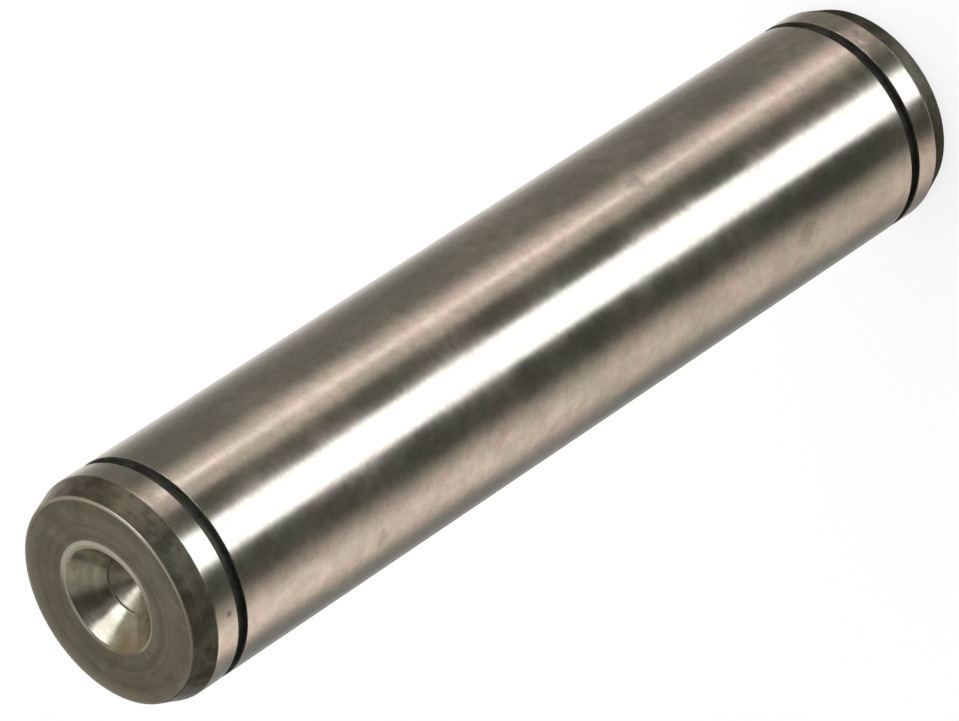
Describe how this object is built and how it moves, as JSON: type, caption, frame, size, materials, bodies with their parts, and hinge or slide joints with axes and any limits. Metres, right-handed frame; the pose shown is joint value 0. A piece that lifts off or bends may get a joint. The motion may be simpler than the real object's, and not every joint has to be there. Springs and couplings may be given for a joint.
{
  "type": "brake shoe pin",
  "caption": "Plain ground steel pin for a brake shoe to swing on, with a retaining ring groove and lead-in chamfer at each end and conical centre holes.",
  "frame": {"origin": "middle of the lower end face, where the pin stands", "axes": "+Z along the pin's axis, from the lower end face to the upper one; X and Y are free, because the pin is round"},
  "size_m": [0.032, 0.032, 0.15],
  "materials": {
    "ground_steel": "cylindrically ground journal and collars, darker turned end faces and chamfers"
  },
  "bodies": {
    "root": {"brake_shoe_pin": "ground_steel"}
  },
  "joints": []
}
